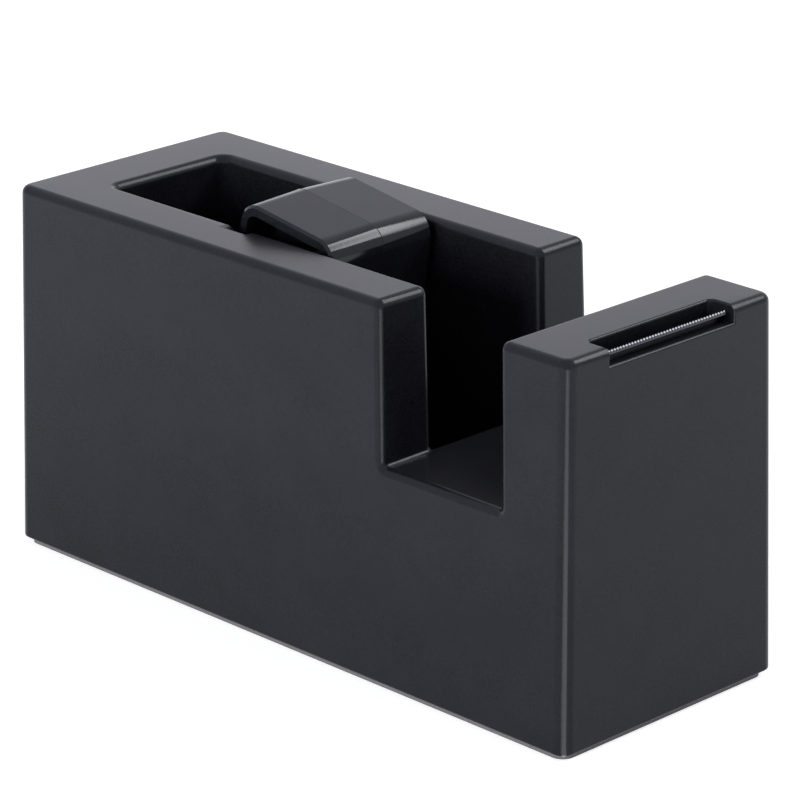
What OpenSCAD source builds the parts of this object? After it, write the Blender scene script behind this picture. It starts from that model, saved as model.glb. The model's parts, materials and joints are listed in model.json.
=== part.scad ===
// Weighted desk tape dispenser: a moulded block with a roll well, a two-part
// spool on a steel pin that drops into slanted grooves, and a toothed cutter.
// Millimetres. Origin on the desk under the middle of the block, +X towards
// the cutter, +Z up, the two long sides facing -Y and +Y.

/* [Block] */
// Length of the block at its foot
block_l = 120; // [110:1:150]
// Width of the block at its foot
block_w = 45.6; // [44:0.2:60]
// Height of the top face above the desk
block_h = 59.9; // [57:0.1:72]
// Inward lean of the outer walls, in degrees
outer_draft = 1.07; // [0.5:0.01:1.5]
// Radius of the four upright corners
corner_r = 2; // [1.5:0.1:4]
// Radius rolled over the moulded edges
edge_r = 1.35; // [0.6:0.05:1.6]
// Thickness of the outer walls
wall_t = 2.4; // [1.6:0.1:3]
// Thickness of the skin round the well and the notch
skin_t = 2; // [1.2:0.1:2.4]

/* [Notch] */
// Length of the front block, along its top
front_l = 13.2; // [12:0.1:20]
// Length of the notch, along the top
notch_l = 23.8; // [18:0.1:26]
// Depth of the notch
notch_depth = 25.1; // [20:0.1:27]
// Lean of the notch's back wall, in degrees
notch_back_lean = 1.7; // [0:0.1:3]
// Lean of the notch's front wall, in degrees
notch_front_lean = 1.9; // [0:0.1:2.4]
// Radius in the corner between the notch floor and a wall
notch_fillet_r = 0.7; // [0.3:0.1:1]

/* [Roll well] */
// Width of the well
well_w = 23; // [22:0.1:27]
// Thickness of the block behind the well, along the top
well_back_t = 11.3; // [10.8:0.1:14]
// Depth of the well
well_depth = 41.4; // [38:0.1:42]
// Radius across the bottom of the well
well_sweep_r = 14; // [8:0.5:18]
// Radius of the well's two upright corners
well_corner_r = 1.5; // [0.8:0.1:2.5]

/* [Spool] */
// Distance from the back of the well to the spool's centre
spool_back = 36.9; // [34:0.1:42]
// Depth of the spool's centre below the top face
spool_drop = 7.8; // [5:0.1:9]
// Side of the rounded square, at the rims
spool_side = 20.5; // [19:0.1:22]
// Radius of the square's corners
spool_corner_r = 3.6; // [2:0.1:4]
// Play between the spool and each side of the well
spool_play = 1; // [0.6:0.1:1.5]
// How far the sides swell towards the seam
spool_crown = 0.27; // [0.1:0.01:0.4]
// Thickness of the rim
spool_rim_t = 1.65; // [1.2:0.05:2]
// How far the webs are set back from the rims
web_recess = 6; // [4:0.1:6.6]
// Thickness of the webs
web_t = 1.4; // [1:0.1:1.8]
// Resting turn of the square, nose down, in degrees
spool_turn = 8.5; // [0:0.1:45]
// Diameter of the steel pin
pin_d = 4.4; // [3:0.1:5]
// Radial clearance of the spool on its pin
bore_clear = 0.05; // [0.02:0.01:0.08]
// Clearance all round the pin in its grooves
groove_clear = 0.08; // [0.04:0.01:0.1]
// Depth of the grooves in the well's side walls
groove_depth = 2.5; // [1.5:0.1:3]
// Lean of the grooves from the upright, in degrees
groove_lean = 41.7; // [30:0.1:50]

/* [Cutter] */
// Width of the recess in the front block
recess_w = 26; // [25.8:0.1:29]
// Length of the recess, along the top
recess_l = 4.5; // [3.7:0.1:5]
// Depth of the recess
recess_depth = 2.6; // [2.2:0.1:3]
// Radius of the recess's upright corners
recess_corner_r = 1; // [0.6:0.1:1.4]
// Radius rolled over the recess's edges
recess_edge_r = 0.4; // [0.2:0.05:0.5]
// Length of the step in front of the cutter's slot
lip_l = 1.6; // [1.5:0.05:1.8]
// Width of the blade
blade_w = 24.8; // [22:0.2:25]
// Thickness of the blade
blade_t = 0.4; // [0.3:0.05:0.5]
// Number of teeth
teeth = 41; // [30:1:45]
// Height of a tooth
tooth_h = 0.45; // [0.3:0.05:0.6]
// Forward lean of the blade, in degrees
blade_lean = 24; // [15:1:25]
// Depth of the tooth tips below the top face
tip_drop = 0.8; // [0.1:0.1:1.2]
// Distance of the tooth tips behind the front face
tip_set = 1; // [0.8:0.1:1.4]
// Height of the leaning part of the blade
blade_arm_h = 4.2; // [3.6:0.1:4.6]
// Length of the blade held upright in its holder
shank_l = 4.8; // [3:0.1:5]
// Height of the blade's holder
holder_h = 6; // [5:0.1:6.4]

/* [Underside] */
// Thickness of the non-slip pad
pad_t = 1; // [0.8:0.1:2]
// How far the pad is set in from the block's edge
pad_inset = 1; // [0.5:0.1:1.5]
// Thickness of the base plate
plate_t = 2; // [1.6:0.1:2.4]
// Width of the step that the base plate seats on
plate_step = 1; // [0.6:0.1:1.2]
// Diameter of the screw posts
post_d = 6.4; // [5:0.1:6.6]
// Depth of the screws' pilot holes
pilot_l = 11; // [9:0.5:12]
// Diameter of the screws' shanks
screw_d = 2.5; // [2:0.1:2.6]
// Diameter of the screw heads
screw_head_d = 5; // [4:0.1:5.6]
// Length of the screws
screw_l = 10; // [8:0.5:11]

/* [Ballast] */
// Play between the ballast and the block's sides
ballast_play = 0.5; // [0.2:0.1:1]
// Number of steel plates under the well
plates = 2; // [1:1:3]

/* [Hidden] */

over = 0.5;            // how far a cut runs past the face that it opens
thin = 0.01;           // slice that carries an outline into a hull
gap = 0.1;             // fit between pieces that are placed and glued or screwed
loose = 0.3;           // play round the ballast
round_fn = 32;         // steps round the edge rolls
bore_fn = 64;          // steps round bores and pins
roll_steps = 7;        // facets across a roll
roll_share = 1.004;    // how far a roll's arc is drawn past its radius
bend_lap = 3;          // how far a pocket's bends run past the tangent, in degrees

lean = tan(outer_draft);
function half_l(z) = block_l / 2 - lean * z;
function half_w(z) = block_w / 2 - lean * z;

// Heights above the desk
rim_z = pad_t;
foot_z = rim_z - over;
plate_z = rim_z + plate_t;
roll_z = block_h - edge_r;
notch_z = block_h - notch_depth;
well_z = block_h - well_depth;

// Lengthwise places
front_x = half_l(block_h);
notch_front_x = front_x - front_l;
notch_back_x = notch_front_x - notch_l;
well_back_x = well_back_t - half_l(block_h);
function notch_back(z) = notch_back_x + tan(notch_back_lean) * (block_h - z);
function notch_front(z) = notch_front_x + tan(notch_front_lean) * (block_h - z);
well_front_x = notch_back(notch_z);

// Spool and pin
spool_x = well_back_x + spool_back;
spool_z = block_h - spool_drop;
pin_r = pin_d / 2;
groove_r = pin_r + groove_clear;
spool_w = well_w - 2 * spool_play;
groove_span = well_w + 2 * groove_depth;
pin_l = groove_span - 2 * loose;
hub_r = pin_r + bore_clear + web_t;
hub_set = 1;           // how far the hub's ends are set back from the rims
tongue_l = 1.8;        // how far the seam's tongue enters the other half

// Cutter
recess_x = front_x - recess_l;
recess_z = block_h - recess_depth;
slot_front_x = front_x - lip_l;
tip_x = front_x - tip_set;
tip_z = block_h - tip_drop;
knee_x = tip_x - blade_arm_h * tan(blade_lean);
knee_z = tip_z - blade_arm_h;
arm_l = blade_arm_h / cos(blade_lean);
grind_share = 0.25;    // thickness left at the tooth tips
bevel_share = 1.2;     // length of the ground bevel, in tooth heights
cross_share = 0.5;     // length of a screw's cross, and twice the pin's chamfer
slot_back_x = recess_x + gap;
slot_w = blade_w + 2 * gap;
holder_z = knee_z - holder_h;

// Inside of the block
inner_l = 2 * (front_x - wall_t);
inner_w = 2 * (half_w(block_h) - wall_t);
inner_top_z = block_h - wall_t;
plate_l = inner_l + 2 * plate_step - 2 * gap;
plate_w = inner_w + 2 * plate_step - 2 * gap;
post_bed = 0.4;        // how far a screw post runs into the walls beside it
post_x = inner_l / 2 - post_d / 2 + post_bed;
post_y = inner_w / 2 - post_d / 2 + post_bed;
rib_shares = [0.2, 0.82];
rib_t = skin_t * 0.6;

// A peg with a rolled top edge, one upright corner of the block
module rolled_peg(r) {
  rotate_extrude($fn = round_fn) {
    translate([0, -edge_r]) square([r - edge_r + thin, edge_r]);
    translate([r - edge_r, -edge_r]) intersection() {
      circle(r = edge_r, $fn = round_fn);
      square(edge_r);
    }
  }
}

// The plain block, drafted, before anything is cut in it
module plain_block() {
  hull() for (sx = [-1, 1], sy = [-1, 1]) {
    translate([sx * (half_l(foot_z) - corner_r), sy * (half_w(foot_z) - corner_r), foot_z])
      cylinder(r = corner_r, h = thin, $fn = round_fn);
    translate([sx * (half_l(roll_z) - corner_r), sy * (half_w(roll_z) - corner_r), block_h])
      rolled_peg(corner_r);
  }
}

// A void drawn through rings of points, each with as many points as the last
// and running anticlockwise seen from the ring after it
module loft(rings) {
  n = len(rings[0]);
  last = len(rings) - 1;
  sides = [for (j = [0 : last - 1], i = [0 : n - 1]) let (k = (i + 1) % n)
    each [[j * n + i, j * n + n + k, j * n + k], [j * n + i, j * n + n + i, j * n + n + k]]];
  polyhedron([for (ring = rings) each ring],
    concat(sides, [[for (i = [0 : n - 1]) i], [for (i = [n - 1 : -1 : 0]) last * n + i]]));
}

// A roll of radius r between two faces: at each step, its depth under the first
// face and how far it draws back the second. It starts and ends a hair outside
// the solid, so that the cut meets both faces cleanly.
function roll(r) = [for (i = [0 : roll_steps]) let (a = 90 * i / roll_steps)
  r * [1 - roll_share * sin(a), 1 - roll_share * cos(a)]];

// Points on a bend round c, rx wide and rz high, from angle a0 to a1
function bend(c, rx, rz, a0, a1) = [for (i = [0 : roll_steps])
  let (a = a0 + (a1 - a0) * i / roll_steps) [c[0] + rx * cos(a), c[1] + rz * sin(a)]];

// One wall of the notch seen from the side, from above the block down to the
// middle of the floor. The wall is drawn back by w and the floor by f.
function notch_wall(w, f) = let (r = max(thin, edge_r * roll_share - w)) concat(
  [[-edge_r - max(0, w - edge_r), block_h + over]],
  bend([edge_r * roll_share - edge_r - w - r, roll_z], r, r, 90, -bend_lap),
  bend([notch_fillet_r, notch_z + notch_fillet_r], notch_fillet_r + w, notch_fillet_r + f, 180, 270));

// Side view of the notch: its back wall drawn back by w, all the rest by f
function notch_outline(w, f) = concat(
  [for (p = notch_wall(f, f)) [notch_front(p[1]) - p[0], p[1]]],
  reverse([for (p = notch_wall(w, f)) [notch_back(p[1]) + p[0], p[1]]]));
function reverse(points) = [for (i = [len(points) - 1 : -1 : 0]) points[i]];

// That view at y, or at y less a share of the height where the block is drafted
function notch_ring(y, slope, w, f) = [for (p = notch_outline(w, f))
  [p[0], y - sign(y) * slope * p[1], p[1]]];

// The notch from side to side. Its mouth is rolled into the block's two long
// faces, and the ends of the well's walls into the well.
function notch_half() = concat(
  [for (q = roll(edge_r)) notch_ring(block_w / 2 - q[0], lean, q[1], q[1])],
  [notch_ring(block_w / 2 + over, lean, edge_r, edge_r)]);
function wall_half() = concat(
  [notch_ring(well_w / 2 - over, 0, edge_r + notch_fillet_r + gap, 0)],
  reverse([for (q = roll(edge_r)) notch_ring(well_w / 2 + q[0], 0, q[1], 0)]));
function mirrored(rings) = [for (ring = reverse(rings)) [for (p = ring) [p[0], -p[1], p[2]]]];
module notch() {
  half = concat(wall_half(), notch_half());
  loft(concat(mirrored(half), half));
}

// Plan of a pocket with two rounded rear corners, open to +X, drawn back by d
function pocket_plan(x, w, r, d) = concat(
  [[block_l, w / 2 + d]],
  bend([x + r, w / 2 - r], r + d, r + d, 90 - bend_lap, 180 + bend_lap),
  bend([x + r, r - w / 2], r + d, r + d, 180 - bend_lap, 270 + bend_lap),
  [[block_l, -w / 2 - d]]);
function plan_ring(x, w, r, d, z) = [for (p = pocket_plan(x, w, r, d)) [p[0], p[1], z]];

// Such a pocket from z up, with a rolled rim in the top face
module pocket(x, w, r, z, roll_r) {
  loft(concat([plan_ring(x, w, r, 0, z)],
    [for (q = roll(roll_r)) plan_ring(x, w, r, max(0, q[1]), block_h - q[0])],
    [plan_ring(x, w, r, roll_r, block_h + over)]));
}

// Side view of the well, grown all round by a skin
module well_side(grow) {
  r = well_sweep_r + grow;
  l = well_front_x - well_back_x + 2 * grow;
  translate([well_back_x - grow, well_z - grow]) {
    translate([0, r]) square([l, well_depth + over - well_sweep_r]);
    translate([r, 0]) square([l - 2 * r, r + over]);
    for (x = [r, l - r]) translate([x, r]) circle(r = r, $fn = bore_fn);
  }
}

// The roll's well, open to the notch
module well() {
  intersection() {
    rotate([90, 0, 0]) linear_extrude(block_w, center = true) {
      well_side(0);
      translate([well_back_x - over - edge_r, spool_z])
        square([well_front_x + notch_fillet_r - well_back_x + over + edge_r, spool_drop + over]);
    }
    pocket(well_back_x, well_w, well_corner_r, 0, edge_r);
  }
}

// The recess's mouth in the front face, drawn back by d, as seen from the front
function mouth_ring(depth, d) = let (y = recess_w / 2 + d, top = block_h + over, foot = recess_z - d)
  [for (p = [[y, top], [-y, top], [-y, foot], [y, foot]]) [half_l(p[1]) - depth, p[0], p[1]]];

// The recess that the cutter stands in, and the slot for the cutter's holder
module recess() {
  pocket(recess_x, recess_w, recess_corner_r, recess_z, recess_edge_r);
  loft(concat([for (q = roll(recess_edge_r)) mouth_ring(q[0], q[1])], [mouth_ring(-over, recess_edge_r)]));
  translate([slot_back_x, -slot_w / 2, holder_z])
    cube([slot_front_x - slot_back_x, slot_w, recess_z - holder_z + over]);
}

// Outer skin of the shell, cut off at its rim: one mesh at its own height,
// because its rolls run into one another
module skin() {
  resize([0, 0, block_h - rim_z]) difference() {
    plain_block();
    notch();
    well();
    recess();
    translate([-block_l, -block_w, rim_z - block_h]) cube([2 * block_l, 2 * block_w, block_h]);
  }
}

// What stays solid inside the block: the skin round the well, notch and slot,
// the walls of the pin grooves, the screw posts and the ribs
module inside_walls() {
  full_w = inner_w + 2 * over;
  rotate([90, 0, 0]) linear_extrude(well_w + 2 * skin_t, center = true) well_side(skin_t);
  translate([notch_back_x - skin_t, -full_w / 2, notch_z - skin_t])
    cube([notch_front(notch_z) - notch_back_x + 2 * skin_t, full_w, notch_depth + skin_t]);
  translate([recess_x - skin_t, -recess_w / 2 - skin_t, holder_z - skin_t])
    cube([recess_l + skin_t, recess_w + 2 * skin_t, block_h - holder_z + skin_t]);
  translate([spool_x, 0, spool_z]) rotate([0, -groove_lean, 0])
    translate([-groove_r - skin_t, -groove_span / 2 - skin_t, -groove_r - skin_t])
      cube([2 * (groove_r + skin_t), groove_span + 2 * skin_t, 2 * spool_drop + groove_r + skin_t]);
  for (sx = [-1, 1], sy = [-1, 1]) translate([sx * post_x, sy * post_y, plate_z])
    cylinder(d = post_d, h = pilot_l + skin_t, $fn = bore_fn);
  for (share = rib_shares)
    translate([well_back_x + share * (well_front_x - well_back_x), -full_w / 2, well_z - skin_t])
      cube([rib_t, full_w, well_depth + skin_t]);
  translate([well_front_x + loose, -full_w / 2, plate_z + loose])
    cube([skin_t - loose, full_w, notch_z - plate_z - loose]);
  translate([-inner_l / 2 - over, -rib_t / 2, well_z - skin_t])
    cube([well_back_t, rib_t, well_depth + skin_t]);
  translate([notch_front_x, -rib_t / 2, notch_z - skin_t])
    cube([front_l, rib_t, notch_depth + skin_t]);
}

// The slanted groove that the pin slides down, right across the well
module pin_groove() {
  translate([spool_x, groove_span / 2, spool_z]) rotate([90, 0, 0])
    cylinder(r = groove_r, h = groove_span, $fn = bore_fn);
  translate([spool_x, -groove_span / 2, spool_z]) rotate([0, -groove_lean, 0])
    translate([thin - groove_r, 0, 0]) cube([2 * (groove_r - thin), groove_span, 2 * spool_drop]);
}

// Moulded housing, open underneath
module body_shell() {
  step_l = inner_l + 2 * plate_step;
  step_w = inner_w + 2 * plate_step;
  color("#3b3c41") difference() {
    skin();
    difference() {
      translate([-inner_l / 2, -inner_w / 2, rim_z - over])
        cube([inner_l, inner_w, inner_top_z - rim_z + over]);
      inside_walls();
    }
    pin_groove();
    translate([-step_l / 2, -step_w / 2, rim_z - over]) cube([step_l, step_w, plate_t + over]);
    for (sx = [-1, 1], sy = [-1, 1]) translate([sx * post_x, sy * post_y, plate_z - over])
      cylinder(r = screw_d / 2 + bore_clear, h = pilot_l + over, $fn = bore_fn);
  }
}

// A flat piece with rounded corners, from z upwards
module flat_piece(l, w, r, z, h) {
  translate([0, 0, z]) linear_extrude(h) offset(r = r, $fn = round_fn)
    square([l - 2 * r, w - 2 * r], center = true);
}

// One base screw, grown by a fit, head down at the plate's lower face
module base_screw(fit) {
  rotate_extrude($fn = bore_fn) polygon([[0, 0], [screw_head_d / 2 + fit, 0],
    [screw_d / 2 + fit, (screw_head_d - screw_d) / 2], [screw_d / 2 + fit, screw_l], [0, screw_l]]);
}

// Plate that closes the underside
module base_plate() {
  color("#2b2c30") difference() {
    flat_piece(plate_l, plate_w, plate_step, rim_z, plate_t);
    for (sx = [-1, 1], sy = [-1, 1]) translate([sx * post_x, sy * post_y, rim_z]) base_screw(gap);
  }
}

// Four countersunk screws with a cross in the head
module base_screws() {
  cross_l = screw_head_d * cross_share;
  color("silver") for (sx = [-1, 1], sy = [-1, 1]) translate([sx * post_x, sy * post_y, rim_z])
    difference() {
      base_screw(0);
      for (turn = [0, 90]) rotate(turn) translate([-cross_l / 2, -blade_t / 2, -over])
        cube([cross_l, blade_t, over + screw_d / 2]);
    }
}

// Soft pad that the block stands on
module non_slip_pad() {
  color("#26262a") flat_piece(2 * (half_l(rim_z) - pad_inset), 2 * (half_w(rim_z) - pad_inset),
    corner_r, 0, pad_t);
}

// A steel block between two lengthwise places
module steel(x0, x1, z, h) {
  translate([(x0 + x1) / 2, 0, 0]) flat_piece(x1 - x0, inner_w - 2 * ballast_play, rib_t, z, h);
}

// Steel block under the notch
module ballast_front() {
  color("slategray") steel(well_front_x + skin_t + loose, post_x - post_d / 2 - loose,
    plate_z, notch_z - skin_t - loose - plate_z);
}

// Stack of steel plates under the well
module ballast_plates() {
  stack = well_z - skin_t - loose - plate_z + gap;
  color("slategray") for (i = [0 : plates - 1])
    steel(post_d / 2 + loose - post_x, well_front_x, plate_z + i * stack / plates, stack / plates - gap);
}

// Clip that holds the blade upright in the slot
module blade_holder() {
  color("#232327") difference() {
    translate([slot_back_x + gap, gap - slot_w / 2, holder_z])
      cube([slot_front_x - slot_back_x - 2 * gap, slot_w - 2 * gap, holder_h - gap]);
    translate([knee_x - blade_t / 2 - bore_clear, -slot_w / 2, knee_z - shank_l - bore_clear])
      cube([blade_t + 2 * bore_clear, slot_w, shank_l + over]);
  }
}

// A place on the blade's leaning part: s along it from the knee, n to its front
function arm_point(s, n) = [knee_x + s * sin(blade_lean) + n * cos(blade_lean),
                            knee_z + s * cos(blade_lean) - n * sin(blade_lean)];

// Toothed steel strip, bent forward and ground thin along the teeth
module cutter_blade() {
  half_t = blade_t / 2;
  mitre = half_t * tan(blade_lean / 2);
  pitch = blade_w / teeth;
  strip = [[knee_x - half_t, knee_z - shank_l], [knee_x + half_t, knee_z - shank_l],
    [knee_x + half_t, knee_z - mitre], arm_point(arm_l - bevel_share * tooth_h, half_t),
    arm_point(arm_l, grind_share * blade_t - half_t), arm_point(arm_l, -half_t),
    [knee_x - half_t, knee_z + mitre]];
  valleys = [for (i = [0 : teeth - 1], step = [0, 1])
    [(i + step / 2) * pitch - blade_w / 2, arm_l + (step == 0 ? -tooth_h : thin)]];
  color("#c9ccd1") difference() {
    rotate([90, 0, 0]) linear_extrude(blade_w, center = true) polygon(strip);
    translate([knee_x, 0, knee_z]) rotate([0, blade_lean, 0]) rotate([90, 0, 90])
      linear_extrude(2 * over, center = true) polygon(concat(valleys,
        [[blade_w / 2, arm_l - tooth_h], [blade_w / 2 + over, arm_l - tooth_h],
         [blade_w / 2 + over, arm_l + over], [-blade_w / 2 - over, arm_l + over],
         [-blade_w / 2 - over, arm_l - tooth_h]]));
  }
}

// Rounded square outline
module square_plan(side, r) {
  offset(r = r, $fn = round_fn) square(side - 2 * r, center = true);
}

// One half of the spool, from the seam outwards along +Z
module spool_half() {
  half = spool_w / 2;
  inner = spool_side - 2 * spool_rim_t;
  inner_r = spool_corner_r - spool_rim_t;
  difference() {
    hull() {
      translate([0, 0, gap / 2]) linear_extrude(thin)
        square_plan(spool_side + 2 * spool_crown, spool_corner_r);
      translate([0, 0, half - recess_edge_r]) linear_extrude(thin) square_plan(spool_side, spool_corner_r);
      translate([0, 0, half - thin]) linear_extrude(thin)
        square_plan(spool_side - 2 * recess_edge_r, spool_corner_r - recess_edge_r);
    }
    translate([0, 0, -over]) linear_extrude(over + half - web_recess - web_t) square_plan(inner, inner_r);
    translate([0, 0, half - web_recess]) linear_extrude(web_recess + over) square_plan(inner, inner_r);
    cylinder(r = hub_r, h = spool_w, $fn = bore_fn);
  }
  difference() {
    translate([0, 0, gap / 2]) cylinder(r = hub_r + thin, h = half - hub_set - gap / 2, $fn = bore_fn);
    translate([0, 0, -over]) cylinder(r = pin_r + bore_clear, h = spool_w, $fn = bore_fn);
  }
}

// The ring that joins the halves at the seam: a root in this half's rim and a
// tongue that enters the other half
module seam_tongue() {
  inner = spool_side - 2 * spool_rim_t;
  inner_r = spool_corner_r - spool_rim_t;
  difference() {
    union() {
      translate([0, 0, gap / 2]) linear_extrude(tongue_l) square_plan(inner + spool_rim_t, inner_r);
      translate([0, 0, -tongue_l]) linear_extrude(2 * tongue_l) square_plan(inner - 2 * gap, inner_r);
    }
    translate([0, 0, -spool_w / 2]) linear_extrude(spool_w) square_plan(inner - 2 * web_t, inner_r);
  }
}

// Carries a half to its side of the spool's axis: sy is -1 for near, 1 for far
module on_spool_axis(sy) {
  translate([spool_x, 0, spool_z]) rotate([0, spool_turn, 0]) rotate([-90 * sy, 0, 0]) children();
}

module spool_near_half() {
  color("#46474d") on_spool_axis(-1) {
    spool_half();
    seam_tongue();
  }
}

module spool_far_half() {
  color("#4b4c52") on_spool_axis(1) spool_half();
}

// Steel pin with chamfered ends
module spool_pin() {
  chamfer = pin_r * cross_share / 2;
  color("silver") translate([spool_x, 0, spool_z]) rotate([90, 0, 0])
    rotate_extrude($fn = bore_fn) polygon([[0, -pin_l / 2], [pin_r - chamfer, -pin_l / 2],
      [pin_r, chamfer - pin_l / 2], [pin_r, pin_l / 2 - chamfer],
      [pin_r - chamfer, pin_l / 2], [0, pin_l / 2]]);
}

body_shell();
base_plate();
base_screws();
non_slip_pad();
ballast_front();
ballast_plates();
blade_holder();
cutter_blade();
spool_near_half();
spool_far_half();
spool_pin();
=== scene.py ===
import json
import math
import bmesh
import bpy
from mathutils import Matrix, Quaternion, Vector


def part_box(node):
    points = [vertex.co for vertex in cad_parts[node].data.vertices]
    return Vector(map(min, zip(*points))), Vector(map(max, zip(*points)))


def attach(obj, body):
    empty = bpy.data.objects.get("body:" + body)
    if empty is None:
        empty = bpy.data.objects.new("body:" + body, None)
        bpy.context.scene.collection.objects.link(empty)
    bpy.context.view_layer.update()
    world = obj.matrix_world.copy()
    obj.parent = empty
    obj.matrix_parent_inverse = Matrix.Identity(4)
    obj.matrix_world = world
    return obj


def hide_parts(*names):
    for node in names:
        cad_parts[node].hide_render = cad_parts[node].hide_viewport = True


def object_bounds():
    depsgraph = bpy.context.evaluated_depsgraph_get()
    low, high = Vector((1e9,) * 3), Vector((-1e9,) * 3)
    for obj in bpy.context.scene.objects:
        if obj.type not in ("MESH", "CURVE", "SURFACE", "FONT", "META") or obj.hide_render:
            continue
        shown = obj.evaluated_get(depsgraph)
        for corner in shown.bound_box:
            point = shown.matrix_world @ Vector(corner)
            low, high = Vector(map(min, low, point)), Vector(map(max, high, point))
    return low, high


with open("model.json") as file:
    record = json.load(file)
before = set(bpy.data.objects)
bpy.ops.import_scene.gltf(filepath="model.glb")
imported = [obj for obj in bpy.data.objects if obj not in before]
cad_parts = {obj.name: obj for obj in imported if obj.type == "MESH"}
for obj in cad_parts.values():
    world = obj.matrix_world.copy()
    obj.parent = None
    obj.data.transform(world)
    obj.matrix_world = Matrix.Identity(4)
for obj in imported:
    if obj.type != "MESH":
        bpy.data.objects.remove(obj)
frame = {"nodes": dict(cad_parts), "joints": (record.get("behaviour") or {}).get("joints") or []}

mm = 0.001
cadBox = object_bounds()
halfLength, halfWidth = cadBox[1].x, cadBox[1].y  # the block stands about the origin
cornerRadius = 2.0 * mm  # of its four upright corners
print("frame loaded:", len(frame["nodes"]), "nodes")


# one socket, whose sums and products add Math nodes
class Wire:
    def __init__(self, tree, socket):
        self.tree = tree
        self.socket = socket

    def maths(self, operation, *values):
        return self.tree.node("Math", {"operation": operation}, dict(enumerate(values)))

    def __add__(self, other):
        return self.maths("ADD", self, other)

    def __radd__(self, other):
        return self.maths("ADD", other, self)

    def __sub__(self, other):
        return self.maths("SUBTRACT", self, other)

    def __rsub__(self, other):
        return self.maths("SUBTRACT", other, self)

    def __mul__(self, other):
        return self.maths("MULTIPLY", self, other)

    def __rmul__(self, other):
        return self.maths("MULTIPLY", other, self)

    def orElse(self, other):
        return self.maths("MAXIMUM", self, other)

    def size(self):
        return self.maths("ABSOLUTE", self)


noiseRoughness = 0.6  # how strongly a noise's finer octaves show
noiseMiddle = 0.5  # the level that a noise plays about


# a material's or the world's node tree, emptied and ready to wire
class NodeTree:
    def __init__(self, owner):
        owner.use_nodes = True
        self.tree = owner.node_tree
        self.tree.nodes.clear()

    def node(self, kind, settings=None, values=None, out=0):
        made = self.tree.nodes.new("ShaderNode" + kind)
        for name, value in (settings or {}).items():
            if name == "stops":
                self.setStops(made.color_ramp, value)
            else:
                setattr(made, name, value)
        for name, value in (values or {}).items():
            if isinstance(value, Wire):
                self.tree.links.new(value.socket, made.inputs[name])
            else:
                made.inputs[name].default_value = value
        return Wire(self, made.outputs[out] if made.outputs else None)

    def setStops(self, ramp, stops):
        for element, (place, level) in zip(ramp.elements, stops):
            element.position = place
            element.color = (level, level, level, 1)

    def mix(self, factor, a, b):
        return self.node("Mix", {"data_type": "RGBA"}, {0: factor, 6: a, 7: b}, out=2)

    def place(self):
        return self.node("TexCoord", out="Object")

    def along(self, axis):
        return self.node("SeparateXYZ", None, {0: self.place()}, out=axis)

    def noise(self, size, detail, place=None):
        return self.node("TexNoise", None, {"Vector": place or self.place(), "Scale": 1 / size,
                                            "Detail": detail, "Roughness": noiseRoughness})

    def play(self, noise, middle, width):  # a value that follows the noise about its middle
        return middle + (noise - noiseMiddle) * width

    def ramp(self, value, low, high):  # low and high within 0 to 1
        return self.node("ValToRGB", {"stops": [(low, 0.0), (high, 1.0)]}, {0: value})

    def between(self, value, low, high):  # low and high anywhere
        return self.ramp((value - low) * (1 / (high - low)), 0.0, 1.0)

    def bump(self, height, distance, under=None):
        values = {"Height": height, "Distance": distance}
        if under:
            values["Normal"] = under
        return self.node("Bump", None, values)

    def shade(self, **values):
        named = {name.replace("_", " "): value for name, value in values.items()}
        self.node("OutputMaterial", None, {"Surface": self.node("BsdfPrincipled", None, named)})


# moulded plastic: a fine spark-eroded grain over a faint flow of the melt
shellPlastic = {
    "dark": (0.0068, 0.0071, 0.0100, 1), "light": (0.0164, 0.0168, 0.0212, 1),
    "roughness": 0.25, "roughnessPlay": 0.06, "specular": 0.20, "tint": (0.93, 0.95, 1.0, 1),
    "grain": 0.30 * mm, "grainDepth": 0.0075 * mm, "grainDetail": 3.0,
    "flow": 1.6 * mm, "flowDepth": 0.002 * mm, "flowDetail": 1.0,
    "cloud": 9 * mm, "cloudDetail": 3.0, "cloudShare": 0.3, "paleFrom": 0.35, "paleTo": 0.65}
hubPlastic = {
    **shellPlastic, "roughness": 0.10, "roughnessPlay": 0.03, "specular": 0.28,
    "grain": 0.16 * mm, "grainDepth": 0.0016 * mm, "flowDepth": 0.001 * mm}
basePlastic = {
    **shellPlastic, "dark": (0.0080, 0.0082, 0.0095, 1), "light": (0.0105, 0.0107, 0.0120, 1),
    "roughness": 0.42}
holderPlastic = {
    **shellPlastic, "dark": (0.0045, 0.0045, 0.0050, 1), "light": (0.0060, 0.0060, 0.0066, 1),
    "roughness": 0.38, "grainDepth": 0.002 * mm}
# grey rubber, lightened so its strip under the foot shows light: partly its own colour, partly a
# painted highlight
padRubber = {
    **shellPlastic, "dark": (0.185, 0.176, 0.189, 1), "light": (0.235, 0.224, 0.238, 1),
    "roughness": 0.72, "roughnessPlay": 0.12, "specular": 0.15,
    "grain": 0.35 * mm, "grainDepth": 0.02 * mm, "flowDepth": 0.006 * mm}


def moulded(name, look):
    material = bpy.data.materials.new(name)
    tree = NodeTree(material)
    grain = tree.noise(look["grain"], look["grainDetail"])
    flow = tree.noise(look["flow"], look["flowDetail"])
    cloud = tree.noise(look["cloud"], look["cloudDetail"])
    blotches = grain * (1 - look["cloudShare"]) + cloud * look["cloudShare"]
    speckle = tree.ramp(blotches, look["paleFrom"], look["paleTo"])
    tree.shade(Base_Color=tree.mix(speckle, look["dark"], look["light"]),
               Roughness=tree.play(grain, look["roughness"], look["roughnessPlay"]),
               Specular_IOR_Level=look["specular"], Specular_Tint=look["tint"],
               Normal=tree.bump(grain, look["grainDepth"], tree.bump(flow, look["flowDepth"])))
    return material
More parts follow.
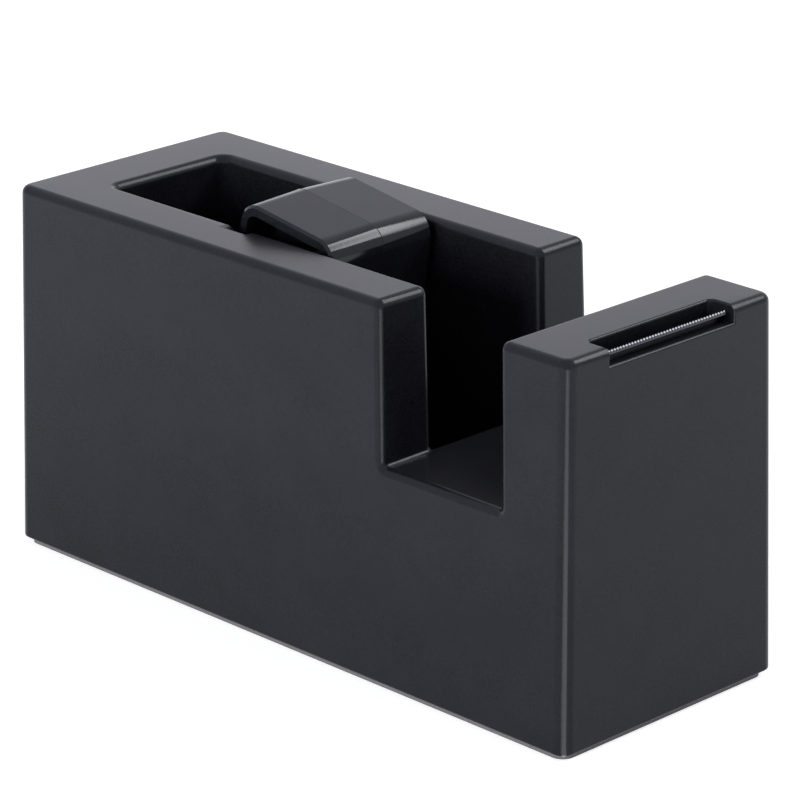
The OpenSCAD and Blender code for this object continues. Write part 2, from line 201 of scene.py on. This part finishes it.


# bare steel, its finishing scratches drawn out along one way; the blade's tips are ground
# bright and its foot is darkened with painted shade, by depths under the tips
bladeSteel = {
    "dull": (0.048, 0.049, 0.053, 1), "bright": (0.080, 0.081, 0.086, 1),
    "roughness": 0.20, "roughnessPlay": 0.08,
    "scratch": 0.05 * mm, "scratchDepth": 0.0006 * mm, "scratchDetail": 2.0,
    "stretch": (1, 0.03, 1), "tips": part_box("cutter_blade")[1].z,
    "ground": (0.62, 0.62, 0.64, 1), "groundTo": 0.18 * mm, "bareFrom": 0.32 * mm,
    "bareTo": 1.18 * mm, "bladeShadeFrom": 1.58 * mm, "bladeFootShade": (0.012, 0.012, 0.013, 1)}
pinSteel = {
    "dull": (0.42, 0.43, 0.44, 1), "bright": (0.60, 0.61, 0.62, 1),
    "roughness": 0.18, "roughnessPlay": 0.08,
    "scratch": 0.05 * mm, "scratchDepth": 0.0006 * mm, "scratchDetail": 2.0,
    "stretch": (0.05, 1, 0.05)}
screwSteel = {**pinSteel, "roughness": 0.26, "stretch": (0.3, 0.3, 1)}
ballastSteel = {
    **pinSteel, "dull": (0.13, 0.13, 0.14, 1), "bright": (0.24, 0.24, 0.25, 1),
    "roughness": 0.46, "scratch": 0.5 * mm, "scratchDepth": 0.01 * mm, "stretch": (0.2, 1, 1)}


def steel(name, look):
    material = bpy.data.materials.new(name)
    tree = NodeTree(material)
    drawn = tree.node("VectorMath", {"operation": "MULTIPLY"},
                      {0: tree.place(), 1: look["stretch"]})
    scratch = tree.noise(look["scratch"], look["scratchDetail"], drawn)
    colour = tree.mix(scratch, look["dull"], look["bright"])
    if "tips" in look:
        # painted shade: the blade darker towards its foot, for the shade and dark reflection low
        # in the recess
        depth = look["tips"] - tree.along("Z")
        colour = tree.mix(tree.between(depth, look["bareTo"], look["bladeShadeFrom"]),
                          colour, look["bladeFootShade"])
        colour = tree.mix(tree.between(depth, look["groundTo"], look["bareFrom"]),
                          look["ground"], colour)
    tree.shade(Base_Color=colour, Metallic=1.0,
               Roughness=tree.play(scratch, look["roughness"], look["roughnessPlay"]),
               Normal=tree.bump(scratch, look["scratchDepth"]))
    return material


# the small roll round the shell's foot
footRoll = {"radius": 0.4 * mm, "steps": 5, "skin": 0.08 * mm, "cutTolerance": 0.0001 * mm}


def rollFoot(mesh):
    look = footRoll
    radius = look["radius"]
    foot = min(vert.co.z for vert in mesh.verts)
    for step in range(1, look["steps"] + 1):  # cut level rings round the wall, closest at the foot
        rise = radius * (1 - math.cos(math.pi / 2 * step / look["steps"]))
        bmesh.ops.bisect_plane(mesh, geom=mesh.verts[:] + mesh.edges[:] + mesh.faces[:],
                               dist=look["cutTolerance"], plane_co=(0, 0, foot + rise),
                               plane_no=(0, 0, 1))
    for vert in mesh.verts:  # draw the rings of the outer skin in
        rise = vert.co.z - foot
        out = Vector((max(abs(vert.co.x) - halfLength + cornerRadius, 0),
                      max(abs(vert.co.y) - halfWidth + cornerRadius, 0)))
        if rise < radius and abs(out.length - cornerRadius) < look["skin"]:
            out *= (radius - math.sqrt(radius ** 2 - (radius - rise) ** 2)) / out.length
            vert.co.x -= math.copysign(out.x, vert.co.x)
            vert.co.y -= math.copysign(out.y, vert.co.y)


def addToScene(thing):
    bpy.context.scene.collection.objects.link(thing)


# a CAD solid dressed again: welded, its rolls smooth and its flats flat
dressing = {"weld": 0.0002 * mm, "sharpAngle": 32, "flatWeight": 90}


def dressed(node, name, body, material, reshape=None):
    piece = frame["nodes"][node].copy()
    piece.data = piece.data.copy()
    for key in [key for key in piece.keys() if key.startswith("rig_")]:
        del piece[key]
    piece.name = piece.data.name = name
    piece.parent = None
    addToScene(piece)
    mesh = bmesh.new()
    mesh.from_mesh(piece.data)
    bmesh.ops.remove_doubles(mesh, verts=mesh.verts, dist=dressing["weld"])
    if reshape:
        reshape(mesh)
    for face in mesh.faces:
        face.smooth = True
    sharp = math.radians(dressing["sharpAngle"])
    for edge in mesh.edges:
        edge.smooth = len(edge.link_faces) == 2 and edge.calc_face_angle() < sharp
    mesh.to_mesh(piece.data)
    mesh.free()
    piece.data.materials.clear()
    piece.data.materials.append(material)
    weighting = piece.modifiers.new("faceWeights", "WEIGHTED_NORMAL")
    weighting.keep_sharp = True
    weighting.weight = dressing["flatWeight"]
    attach(piece, body)
    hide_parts(node)


# the thin raised line where the hub's two halves meet
hubSeam = {"turn": 8.5, "side": 21.04 * mm, "cornerRadius": 3.6 * mm, "cornerSteps": 14,
           "bead": 0.11 * mm, "beadSteps": 8, "proud": 0.03 * mm}


def makeHubSeam(material):
    look = hubSeam
    straight = look["side"] / 2 - look["cornerRadius"]
    reach = look["cornerRadius"] - look["bead"] + look["proud"]
    path = []
    for corner, (sx, sz) in enumerate(((1, 1), (-1, 1), (-1, -1), (1, -1))):
        for step in range(look["cornerSteps"] + 1):
            angle = math.radians(90 * (corner + step / look["cornerSteps"]))
            out = Vector((math.cos(angle), 0, math.sin(angle)))
            path.append((Vector((sx * straight, 0, sz * straight)) + out * reach, out))
    mesh = bmesh.new()
    rings = []
    for point, out in path:
        ring = []
        for step in range(look["beadSteps"]):
            angle = 2 * math.pi * step / look["beadSteps"]
            outward = out * math.cos(angle) + Vector((0, math.sin(angle), 0))
            ring.append(mesh.verts.new(point + look["bead"] * outward))
        rings.append(ring)
    for ring, nextRing in zip(rings, rings[1:] + rings[:1]):
        for i in range(look["beadSteps"]):
            j = (i + 1) % look["beadSteps"]
            mesh.faces.new((ring[i], ring[j], nextRing[j], nextRing[i])).smooth = True
    bmesh.ops.recalc_face_normals(mesh, faces=mesh.faces)
    turn = Matrix.Rotation(math.radians(look["turn"]), 4, "Y")
    axle = next(joint["pos_m"] for joint in frame["joints"] if joint["name"] == "spool_spin")
    mesh.transform(Matrix.Translation(axle) @ turn)
    data = bpy.data.meshes.new("hub_seam")
    mesh.to_mesh(data)
    mesh.free()
    data.materials.append(material)
    seam = bpy.data.objects.new("hub_seam", data)
    addToScene(seam)
    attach(seam, "spool")


shellMaterial = moulded("shellPlastic", shellPlastic)
hubMaterial = moulded("hubPlastic", hubPlastic)
pinMaterial = steel("pinSteel", pinSteel)
dressed("body_shell", "moulded_shell", "housing", shellMaterial, rollFoot)
dressed("spool_near_half", "hub_near_half", "spool", hubMaterial)
dressed("spool_far_half", "hub_far_half", "spool", hubMaterial)
dressed("spool_pin", "turned_pin", "pin", pinMaterial)
makeHubSeam(hubMaterial)

# the nodes that keep their CAD mesh
ballastMaterial = steel("ballastSteel", ballastSteel)
finishes = {
    "cutter_blade": steel("bladeSteel", bladeSteel),
    "blade_holder": moulded("holderPlastic", holderPlastic),
    "base_plate": moulded("basePlastic", basePlastic),
    "non_slip_pad": moulded("padRubber", padRubber),
    "base_screws": steel("screwSteel", screwSteel),
    "ballast_front": ballastMaterial,
    "ballast_plates": ballastMaterial}
for node, material in finishes.items():
    frame["nodes"][node].data.materials.clear()
    frame["nodes"][node].data.materials.append(material)
print("pieces dressed")


# studio: a pale floor under a white surround; the block mirrors both a little cooler, and mirrors
# the floor near its foot darker, a painted shadow
studio = {
    "white": (1, 1, 1, 1), "coolWhite": (0.888, 0.888, 0.99, 1),
    "floorFootShade": (0.444, 0.444, 0.495, 1), "footShadeReach": 0.16, "mirrorLift": 1.0,
    "floorSize": 8.0, "floorColour": (0.80, 0.80, 0.80, 1), "floorLift": 0.71,
    "ambient": (0.28, 0.285, 0.30, 1)}


def isRay(tree, kind):
    return tree.node("LightPath", out="Is " + kind + " Ray")


def makeFloor():
    bpy.ops.mesh.primitive_plane_add(size=studio["floorSize"])
    floor = bpy.context.object
    floor.name = "studioFloor"
    material = bpy.data.materials.new("paleFloor")
    tree = NodeTree(material)
    matt = tree.node("BsdfDiffuse", None, {"Color": studio["floorColour"]})
    x, y = tree.along("X").size(), tree.along("Y").size()
    away = (x - halfLength).orElse(y - halfWidth)
    # painted shadow: glossy rays see the floor darker near the block's foot, fading out further
    # away
    far = tree.ramp(away, 0.0, studio["footShadeReach"])
    mirrored = tree.mix(far, studio["floorFootShade"], studio["coolWhite"])
    camera, glossy = isRay(tree, "Camera"), isRay(tree, "Glossy")
    tint = tree.mix(camera, mirrored, studio["white"])
    strength = camera * studio["floorLift"] + glossy * studio["mirrorLift"]
    lift = tree.node("Emission", None, {"Color": tint, "Strength": strength})
    surface = tree.node("AddShader", None, {0: matt, 1: lift})
    tree.node("OutputMaterial", None, {"Surface": surface})
    floor.data.materials.append(material)


def makeWorld():
    world = bpy.data.worlds.new("studioWorld")
    bpy.context.scene.world = world
    tree = NodeTree(world)
    camera = isRay(tree, "Camera")
    shown = camera.orElse(isRay(tree, "Glossy")).orElse(isRay(tree, "Transmission"))
    tint = tree.mix(camera, studio["coolWhite"], studio["white"])
    light = tree.node("Background", None, {"Color": studio["ambient"]})
    backdrop = tree.node("Background", None, {"Color": tint})
    surface = tree.node("MixShader", None, {0: shown, 1: light, 2: backdrop})
    tree.node("OutputWorld", None, {"Surface": surface})


# the low lamps aren't mirrored, or the top would be white when seen from across them
lamps = {
    "sideLamp": {"azimuth": 270, "elevation": 12, "size": (0.5, 0.5), "turn": 0,
                 "power": 12.0, "mirrored": False},
    "frontLamp": {"azimuth": 0, "elevation": 12, "size": (0.5, 0.5), "turn": 0,
                  "power": 2.4, "mirrored": False},
    "farLamp": {"azimuth": 134, "elevation": 13, "size": (1.1, 0.4), "turn": 0,
                "power": 0.62, "mirrored": True},
    "hubStrip": {"azimuth": 62.3, "elevation": 42, "size": (0.70, 0.24), "turn": 38,
                 "power": 5.4, "mirrored": True}}
lampAim = {"middle": (0, 0, 0.03), "distance": 1.3, "colour": (0.98, 0.985, 1.0)}


def makeLamps():
    middle = Vector(lampAim["middle"])
    for name, look in lamps.items():
        data = bpy.data.lights.new(name, "AREA")
        data.shape = "RECTANGLE"
        data.size, data.size_y = look["size"]
        data.energy = look["power"]
        data.color = lampAim["colour"]
        lamp = bpy.data.objects.new(name, data)
        azimuth, elevation = math.radians(look["azimuth"]), math.radians(look["elevation"])
        away = Vector((math.cos(azimuth) * math.cos(elevation),
                       math.sin(azimuth) * math.cos(elevation), math.sin(elevation)))
        lamp.location = middle + away * lampAim["distance"]
        lamp.rotation_mode = "QUATERNION"
        turn = Quaternion((0, 0, 1), math.radians(look["turn"]))
        lamp.rotation_quaternion = away.to_track_quat("Z", "Y") @ turn
        lamp.visible_glossy = look["mirrored"]
        addToScene(lamp)


# a bright strip widening over the floor, for the light line on the rounded near corner
cornerGlow = {"azimuth": -39, "spread": 25, "reach": 0.42, "lift": 0.2 * mm, "strength": 5.8}


def makeCornerGlow():
    look = cornerGlow
    x, y = halfLength - cornerRadius, cornerRadius - halfWidth
    corners = [(x, y, look["lift"])]
    for side in (-0.5, 0.5):
        azimuth = math.radians(look["azimuth"] + side * look["spread"])
        corners.append((x + look["reach"] * math.cos(azimuth),
                        y + look["reach"] * math.sin(azimuth), look["lift"]))
    data = bpy.data.meshes.new("cornerGlow")
    data.from_pydata(corners, [], [(0, 1, 2)])
    material = bpy.data.materials.new("cornerGlow")
    tree = NodeTree(material)
    clear = tree.node("BsdfTransparent")
    glow = tree.node("Emission", None, {"Color": studio["white"], "Strength": look["strength"]})
    surface = tree.node("MixShader", None, {0: isRay(tree, "Glossy"), 1: clear, 2: glow})
    tree.node("OutputMaterial", None, {"Surface": surface})
    data.materials.append(material)
    strip = bpy.data.objects.new("cornerGlow", data)
    addToScene(strip)


# the photograph's own view
view = {"place": (0.42418, -0.41265, 0.25087), "forward": (-0.669736, 0.657845, -0.344520),
        "roll": -0.174, "lens": 186.716, "sensor": 36.0}


def makeCamera():
    data = bpy.data.cameras.new("photoCamera")
    data.lens = view["lens"]
    data.sensor_width = view["sensor"]
    camera = bpy.data.objects.new("photoCamera", data)
    camera.location = view["place"]
    camera.rotation_mode = "QUATERNION"
    aim = Vector(view["forward"]).to_track_quat("-Z", "Y")
    camera.rotation_quaternion = aim @ Quaternion((0, 0, 1), math.radians(view["roll"]))
    addToScene(camera)
    bpy.context.scene.camera = camera


makeFloor()
makeWorld()
makeLamps()
makeCornerGlow()
makeCamera()
bpy.context.scene.view_settings.view_transform = "Standard"
print("studio ready")
